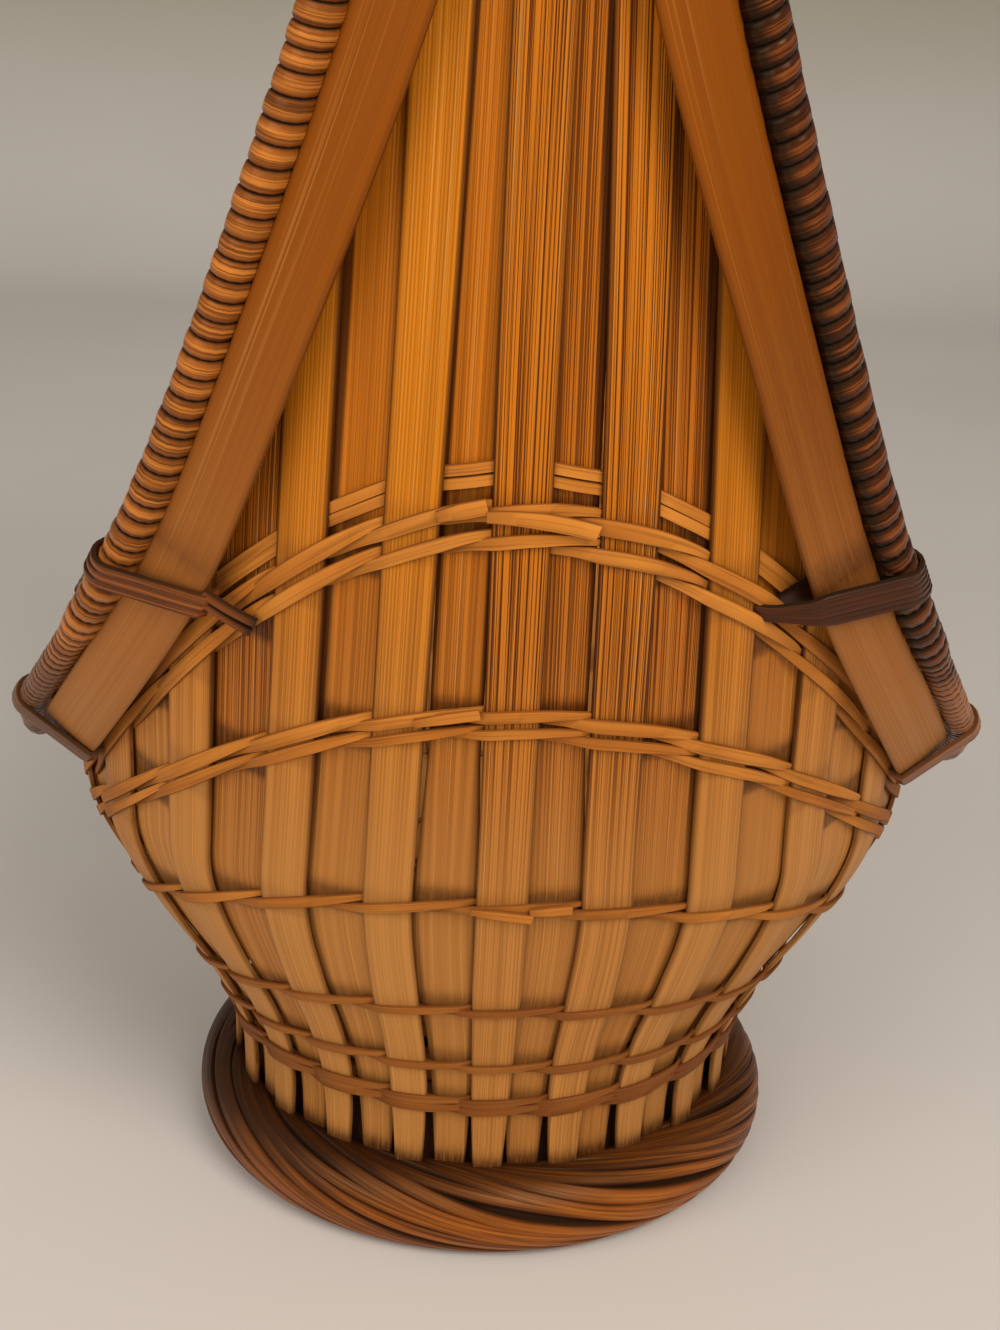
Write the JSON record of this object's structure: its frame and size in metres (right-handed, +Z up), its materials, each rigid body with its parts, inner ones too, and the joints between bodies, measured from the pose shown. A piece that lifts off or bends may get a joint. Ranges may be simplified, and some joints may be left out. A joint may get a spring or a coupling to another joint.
{
  "type": "boat basket",
  "caption": "Boat-shaped flower basket of bamboo staves and woven splints on a round rolled foot, with raised prows, cane-wrapped hoops and an arched handle.",
  "frame": {"origin": "centre of the foot ring's underside", "axes": "+Z up, the prows point along -Y and +Y, the low sides lie at -X and +X"},
  "size_m": [0.1752, 0.2318, 0.3516],
  "materials": {
    "stave": "split bamboo, satin",
    "stave_recessed": "split bamboo, satin",
    "weaver": "bamboo splint, satin",
    "slat": "smooth bamboo, satin",
    "hoop": "rattan rod, satin",
    "wrap": "split cane, glossy",
    "lashing": "split cane, dark, glossy",
    "foot": "rolled cane, satin"
  },
  "bodies": {
    "root": {"foot_ring": "foot", "base_disc": "weaver", "stave_near_middle": "stave", "stave_near_left_1": "stave_recessed", "stave_near_left_2": "stave", "stave_near_left_3": "stave_recessed", "stave_near_left_4": "stave", "stave_near_left_5": "stave_recessed", "stave_near_left_6": "stave", "stave_near_left_7": "stave_recessed", "stave_near_left_8": "stave", "stave_near_right_1": "stave_recessed", "stave_near_right_2": "stave", "stave_near_right_3": "stave_recessed", "stave_near_right_4": "stave", "stave_near_right_5": "stave_recessed", "stave_near_right_6": "stave", "stave_near_right_7": "stave_recessed", "stave_near_right_8": "stave", "stave_far_middle": "stave", "stave_far_left_1": "stave_recessed", "stave_far_left_2": "stave", "stave_far_left_3": "stave_recessed", "stave_far_left_4": "stave", "stave_far_left_5": "stave_recessed", "stave_far_left_6": "stave", "stave_far_left_7": "stave_recessed", "stave_far_left_8": "stave", "stave_far_right_1": "stave_recessed", "stave_far_right_2": "stave", "stave_far_right_3": "stave_recessed", "stave_far_right_4": "stave", "stave_far_right_5": "stave_recessed", "stave_far_right_6": "stave", "stave_far_right_7": "stave_recessed", "stave_far_right_8": "stave", "stave_side_left": "stave_recessed", "stave_side_right": "stave_recessed", "neck_row": "weaver", "weave_row_5": "weaver", "weave_row_4": "weaver", "weave_row_3": "weaver", "weave_row_2": "weaver", "rim_band": "weaver", "hoop_left": "hoop", "hoop_right": "hoop", "rail_slat_near_left": "slat", "rail_slat_near_right": "slat", "rail_slat_far_left": "slat", "rail_slat_far_right": "slat", "rim_lashing_near_left": "lashing", "rim_lashing_near_right": "lashing", "rim_lashing_far_left": "lashing", "rim_lashing_far_right": "lashing", "wrap_near_left": "wrap", "wrap_near_right": "wrap", "wrap_far_left": "wrap", "wrap_far_right": "wrap", "tip_binding_near": "lashing", "tip_binding_far": "lashing"}
  },
  "joints": []
}
